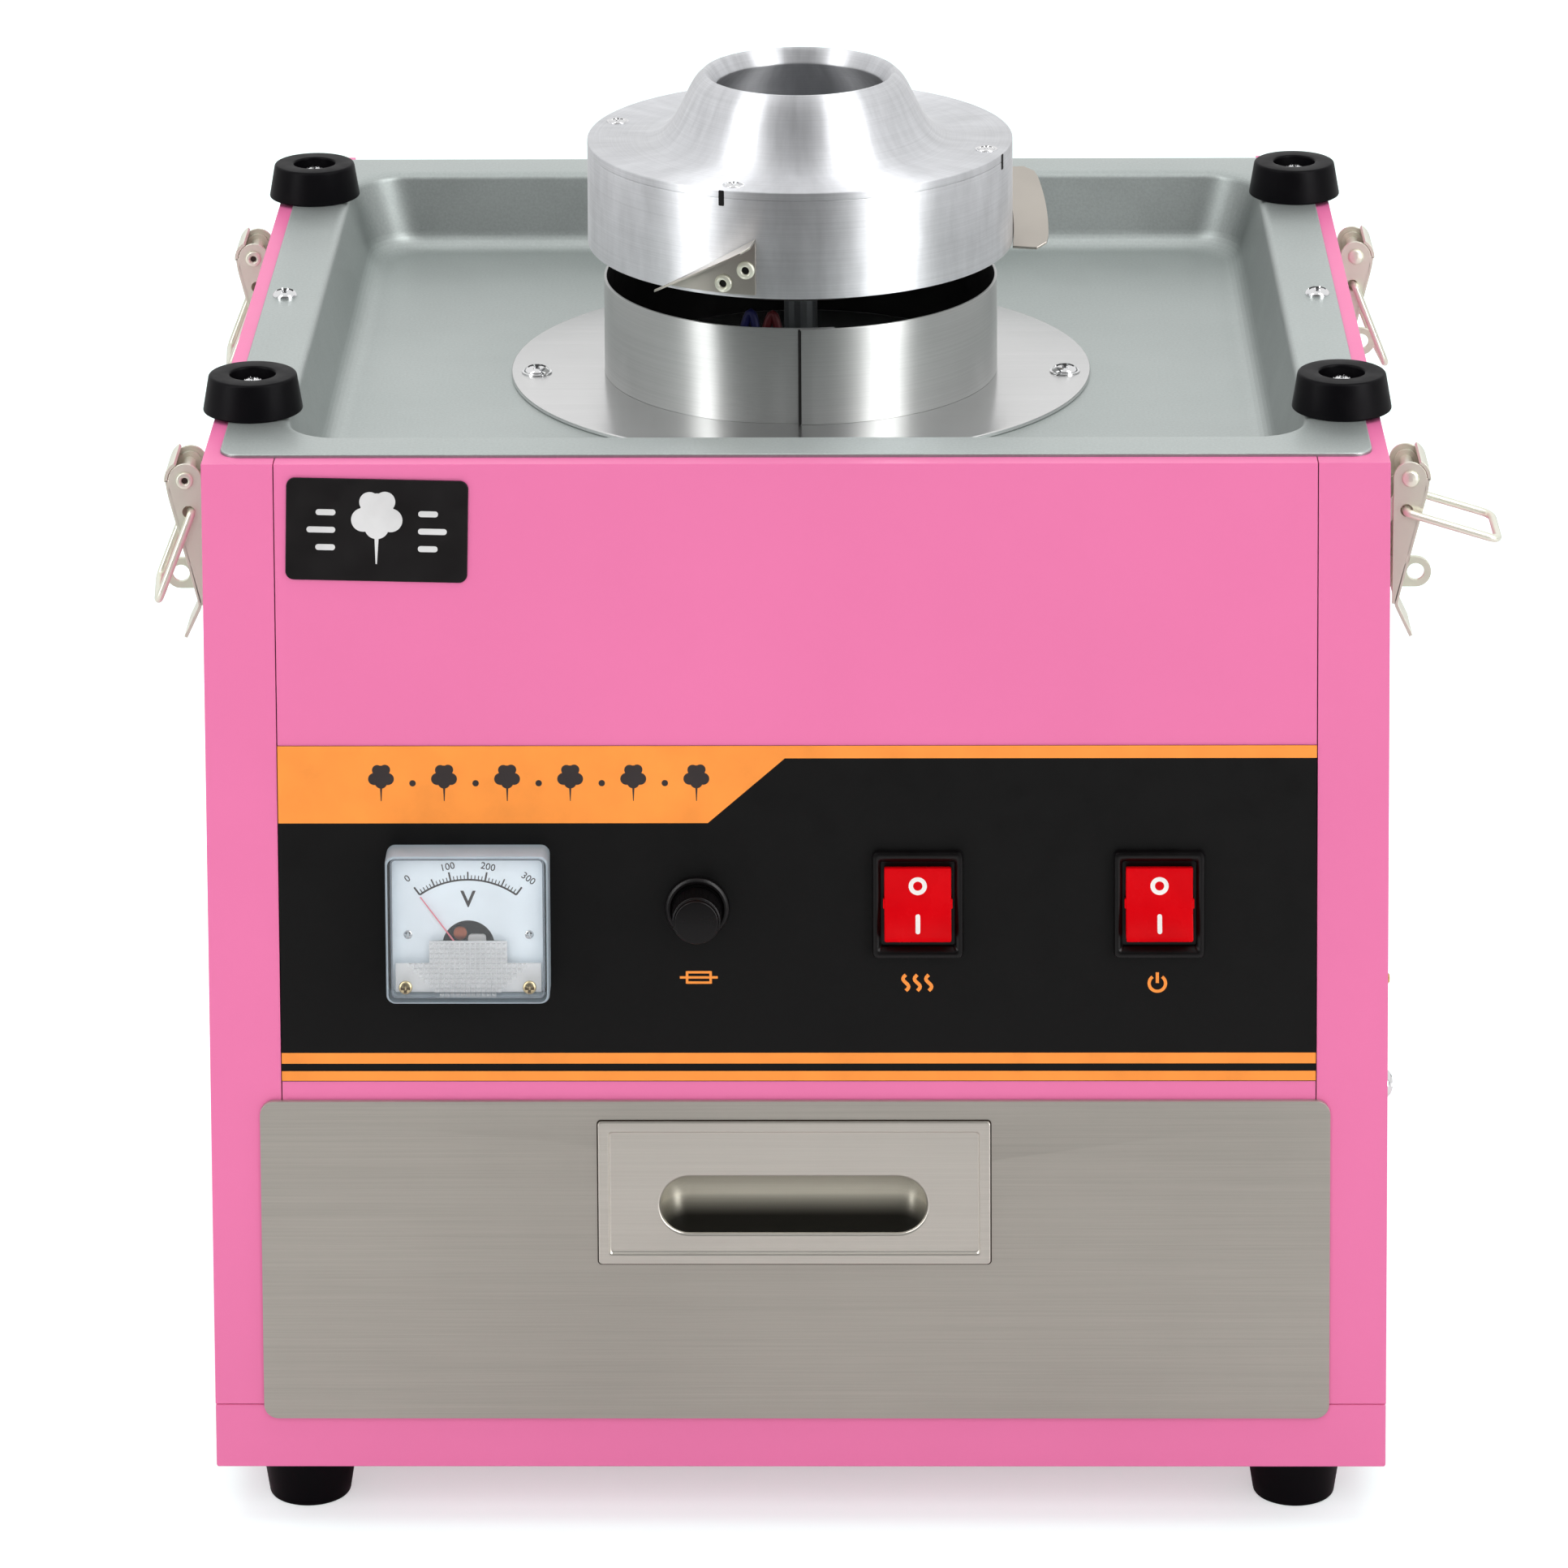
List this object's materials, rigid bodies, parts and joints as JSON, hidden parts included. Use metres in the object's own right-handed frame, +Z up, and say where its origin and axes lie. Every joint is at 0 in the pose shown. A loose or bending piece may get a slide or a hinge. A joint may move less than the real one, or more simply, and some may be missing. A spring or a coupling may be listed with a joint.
{
  "type": "cotton candy machine",
  "caption": "Counter-top cotton candy machine: square cabinet with drawer and control panel, pressed tray, spinner head and toggle latches for a bowl.",
  "frame": {"origin": "centre of the base pan underside, on the spinner axis; the feet reach 18 mm below it", "axes": "+Z up along the spinner axis, -Y towards the control panel, +X to the right seen from the front"},
  "size_m": [0.3823, 0.3354, 0.3802],
  "materials": {
    "pink_paint": "pink powder coat, satin",
    "tray_steel": "bright pressed steel, fine grain",
    "drawer_steel": "horizontally brushed stainless steel",
    "nickel": "nickel plate",
    "aluminium": "turned and brushed",
    "rubber": "moulded black rubber",
    "black_plastic": "moulded black plastic",
    "label_film": "black film with orange bands",
    "badge_black": "black film on a thin plate",
    "red_plastic": "gloss red moulding with white marks",
    "clear_plastic": "clear moulded acrylic",
    "dial_white": "white dial with black scale",
    "galvanised": "zinc-plated sheet",
    "insulator": "brown insulating board",
    "brass": "turned brass",
    "heater_alloy": "heat-darkened resistance ribbon",
    "glass_tube": "glass fuse tube"
  },
  "bodies": {
    "cabinet": {"base_pan": "pink_paint", "left_side_panel": "pink_paint", "right_side_panel": "pink_paint", "front_panel": "pink_paint", "rear_panel": "pink_paint", "control_label": "label_film", "badge_plate": "badge_black", "drawer_shelf": "galvanised", "drawer_rail_left": "galvanised", "drawer_rail_right": "galvanised", "motor": "galvanised", "motor_bracket": "galvanised", "mains_inlet": "black_plastic", "foot_front_left": "rubber", "bumper_front_left": "rubber", "latch_base_front_left": "nickel", "foot_front_right": "rubber", "bumper_front_right": "rubber", "latch_base_front_right": "nickel", "foot_rear_left": "rubber", "bumper_rear_left": "rubber", "latch_base_rear_left": "nickel", "foot_rear_right": "rubber", "bumper_rear_right": "rubber", "latch_base_rear_right": "nickel", "top_tray": "tray_steel", "shroud_base_disc": "tray_steel", "shroud_ring": "aluminium", "brush_holder": "insulator", "voltmeter_case": "black_plastic", "voltmeter_cover": "clear_plastic", "voltmeter_dial": "dial_white", "fuse_holder": "black_plastic", "heat_switch_body": "black_plastic", "power_switch_body": "black_plastic"},
    "spinner": {"spinner_cap": "aluminium", "spinner_bowl": "aluminium", "heater_ring": "heater_alloy", "insulator_disc": "insulator", "drive_shaft": "galvanised", "slip_ring_hub": "brass", "air_vane_1": "nickel", "air_vane_2": "nickel", "air_vane_3": "nickel"},
    "drawer": {"drawer_box": "galvanised", "drawer_front": "drawer_steel", "drawer_pull": "drawer_steel"},
    "heat_rocker": {"heat_switch_rocker": "red_plastic"},
    "power_rocker": {"power_switch_rocker": "red_plastic"},
    "fuse_carrier": {"fuse_cap": "black_plastic", "fuse_tube": "glass_tube"},
    "meter_needle": {"voltmeter_needle": "red_plastic"},
    "lever_front_left": {"latch_lever_front_left": "nickel"},
    "bail_front_left": {"latch_bail_front_left": "nickel"},
    "lever_front_right": {"latch_lever_front_right": "nickel"},
    "bail_front_right": {"latch_bail_front_right": "nickel"},
    "lever_rear_left": {"latch_lever_rear_left": "nickel"},
    "bail_rear_left": {"latch_bail_rear_left": "nickel"},
    "lever_rear_right": {"latch_lever_rear_right": "nickel"},
    "bail_rear_right": {"latch_bail_rear_right": "nickel"}
  },
  "joints": [
    {"name": "spinner_spin", "type": "hinge", "parent": "cabinet", "child": "spinner", "pos_m": [0, 0, 0.327], "axis": [0, 0, 1], "continuous": true},
    {"name": "drawer_slide", "type": "slide", "parent": "cabinet", "child": "drawer", "axis": [0, -1, 0], "range_m": [0, 0.2]},
    {"name": "heat_rocker_press", "type": "hinge", "parent": "cabinet", "child": "heat_rocker", "pos_m": [0.0336, -0.15835, 0.1655], "axis": [1, 0, 0], "range_deg": [0, 18]},
    {"name": "power_rocker_press", "type": "hinge", "parent": "cabinet", "child": "power_rocker", "pos_m": [0.101, -0.15835, 0.1655], "axis": [1, 0, 0], "range_deg": [0, 18]},
    {"name": "fuse_carrier_turn", "type": "hinge", "parent": "cabinet", "child": "fuse_carrier", "pos_m": [-0.028, -0.16035, 0.1644], "axis": [0, -1, 0], "range_deg": [0, 90]},
    {"name": "meter_needle_swing", "type": "hinge", "parent": "cabinet", "child": "meter_needle", "pos_m": [-0.0919, -0.16315, 0.1506], "axis": [0, 1, 0], "range_deg": [0, 72]},
    {"name": "lever_front_left_open", "type": "hinge", "parent": "cabinet", "child": "lever_front_left", "pos_m": [-0.1735, -0.112, 0.275], "axis": [0, 1, 0], "range_deg": [0, 100]},
    {"name": "bail_front_left_swing", "type": "hinge", "parent": "lever_front_left", "child": "bail_front_left", "pos_m": [-0.1725, -0.112, 0.2657], "axis": [0, -1, 0], "range_deg": [-150, 0]},
    {"name": "lever_front_right_open", "type": "hinge", "parent": "cabinet", "child": "lever_front_right", "pos_m": [0.1735, -0.112, 0.275], "axis": [0, -1, 0], "range_deg": [0, 100]},
    {"name": "bail_front_right_swing", "type": "hinge", "parent": "lever_front_right", "child": "bail_front_right", "pos_m": [0.1725, -0.112, 0.2657], "axis": [0, 1, 0], "range_deg": [-98, 52]},
    {"name": "lever_rear_left_open", "type": "hinge", "parent": "cabinet", "child": "lever_rear_left", "pos_m": [-0.1735, 0.112, 0.275], "axis": [0, 1, 0], "range_deg": [0, 100]},
    {"name": "bail_rear_left_swing", "type": "hinge", "parent": "lever_rear_left", "child": "bail_rear_left", "pos_m": [-0.1725, 0.112, 0.2657], "axis": [0, -1, 0], "range_deg": [-150, 0]},
    {"name": "lever_rear_right_open", "type": "hinge", "parent": "cabinet", "child": "lever_rear_right", "pos_m": [0.1735, 0.112, 0.275], "axis": [0, -1, 0], "range_deg": [0, 100]},
    {"name": "bail_rear_right_swing", "type": "hinge", "parent": "lever_rear_right", "child": "bail_rear_right", "pos_m": [0.1725, 0.112, 0.2657], "axis": [0, 1, 0], "range_deg": [-150, 0]}
  ]
}
